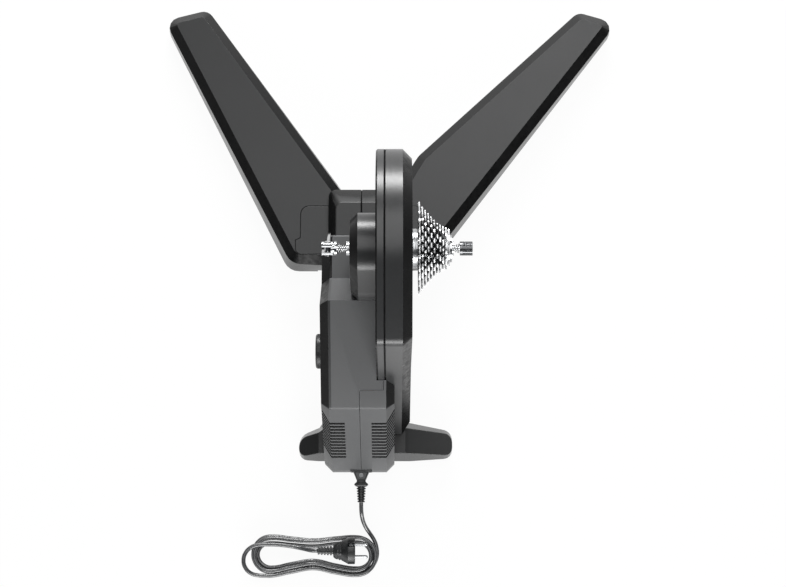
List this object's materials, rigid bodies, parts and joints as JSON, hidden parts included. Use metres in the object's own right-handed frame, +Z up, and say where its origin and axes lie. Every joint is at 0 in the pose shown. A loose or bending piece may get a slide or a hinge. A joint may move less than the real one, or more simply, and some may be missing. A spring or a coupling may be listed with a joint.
{
  "type": "direct drive bike trainer",
  "caption": "Folding indoor bike trainer with a cassette on its axle, a belt-driven flywheel with an electric brake, two swing-out front legs, a rear foot and a coiled power cord.",
  "frame": {"origin": "centre of the footprint without the cord, on the floor", "axes": "+Y towards the bike's front along its centre plane, +Z up, +X towards the cassette side"},
  "size_m": [0.649, 0.823, 0.46],
  "materials": {
    "dark_paint": "dark grey powder coat",
    "grey_paint": "grey satin powder coat",
    "black_plastic": "fine-grained black plastic",
    "rubber": "matt black",
    "steel": "turned steel",
    "chrome": "polished",
    "nickel": "bright plated steel",
    "aluminium": "machined",
    "cast_iron": "turned, oiled",
    "copper": "enamelled copper windings on a steel plate",
    "board": "green solder mask",
    "cord": "satin flexible plastic"
  },
  "bodies": {
    "chassis": {"base_plate": "dark_paint", "pivot_pin_left": "steel", "pivot_pin_right": "steel", "front_block_left": "dark_paint", "front_block_right": "dark_paint", "left_housing": "grey_paint", "right_housing": "grey_paint", "inner_belt_cover": "grey_paint", "outer_belt_cover": "grey_paint", "axle_housing": "dark_paint", "rear_foot": "dark_paint", "rear_pad_left": "rubber", "rear_pad_right": "rubber", "flywheel_cap": "black_plastic", "flywheel_bearing_left": "steel", "flywheel_bearing_right": "steel", "brake_stator": "copper", "circuit_board": "board", "drive_belt": "rubber", "axle": "steel", "axle_end_left": "steel", "axle_end_right": "steel", "hub_bearing_left": "steel", "hub_bearing_right": "steel", "skewer_rod": "steel", "skewer_head": "chrome", "skewer_spring_left": "steel", "skewer_spring_right": "steel", "power_inlet": "black_plastic", "power_connector": "black_plastic", "cord_lead": "cord", "cord_hank": "cord", "cord_tail": "cord", "plug_relief": "cord", "plug": "black_plastic"},
    "left_leg": {"left_leg": "dark_paint", "left_leg_cap": "dark_paint", "left_leg_pad": "rubber"},
    "right_leg": {"right_leg": "dark_paint", "right_leg_cap": "dark_paint", "right_leg_pad": "rubber"},
    "flywheel": {"flywheel": "cast_iron", "flywheel_shaft": "steel", "small_pulley": "aluminium"},
    "hub": {"hub_pulley": "aluminium"},
    "cassette": {"freehub_body": "aluminium", "cog_28": "nickel", "cog_25": "nickel", "cog_23": "nickel", "cog_21": "nickel", "cog_19": "nickel", "cog_17": "nickel", "cog_15": "nickel", "cog_14": "nickel", "cog_13": "nickel", "cog_12": "nickel", "cog_11": "nickel", "cassette_lockring": "nickel"},
    "lever": {"skewer_lever": "chrome"},
    "nut": {"skewer_nut": "chrome"}
  },
  "joints": [
    {"name": "left_leg_fold", "type": "hinge", "parent": "chassis", "child": "left_leg", "pos_m": [-0.10415, 0.00139, 0], "axis": [0, 0, 1], "range_deg": [-31, 0]},
    {"name": "right_leg_fold", "type": "hinge", "parent": "chassis", "child": "right_leg", "pos_m": [0.02585, 0.00139, 0], "axis": [0, 0, 1], "range_deg": [0, 42]},
    {"name": "flywheel_spin", "type": "hinge", "parent": "chassis", "child": "flywheel", "pos_m": [-0.05565, -0.18161, 0.128], "axis": [1, 0, 0], "continuous": true},
    {"name": "hub_spin", "type": "hinge", "parent": "chassis", "child": "hub", "pos_m": [0.01435, -0.08061, 0.335], "axis": [1, 0, 0], "continuous": true},
    {"name": "cassette_spin", "type": "hinge", "parent": "chassis", "child": "cassette", "pos_m": [0.05435, -0.08061, 0.335], "axis": [1, 0, 0], "continuous": true},
    {"name": "lever_swing", "type": "hinge", "parent": "chassis", "child": "lever", "pos_m": [-0.07695, -0.08061, 0.335], "axis": [0, 0.9063, 0.4226], "range_deg": [0, 180]},
    {"name": "nut_spin", "type": "hinge", "parent": "chassis", "child": "nut", "pos_m": [0.09735, -0.08061, 0.335], "axis": [1, 0, 0], "continuous": true}
  ],
  "couplings": [
    {"joint": "hub_spin", "follows": "flywheel_spin", "ratio": 0.20952},
    {"joint": "cassette_spin", "follows": "flywheel_spin", "ratio": 0.20952}
  ]
}
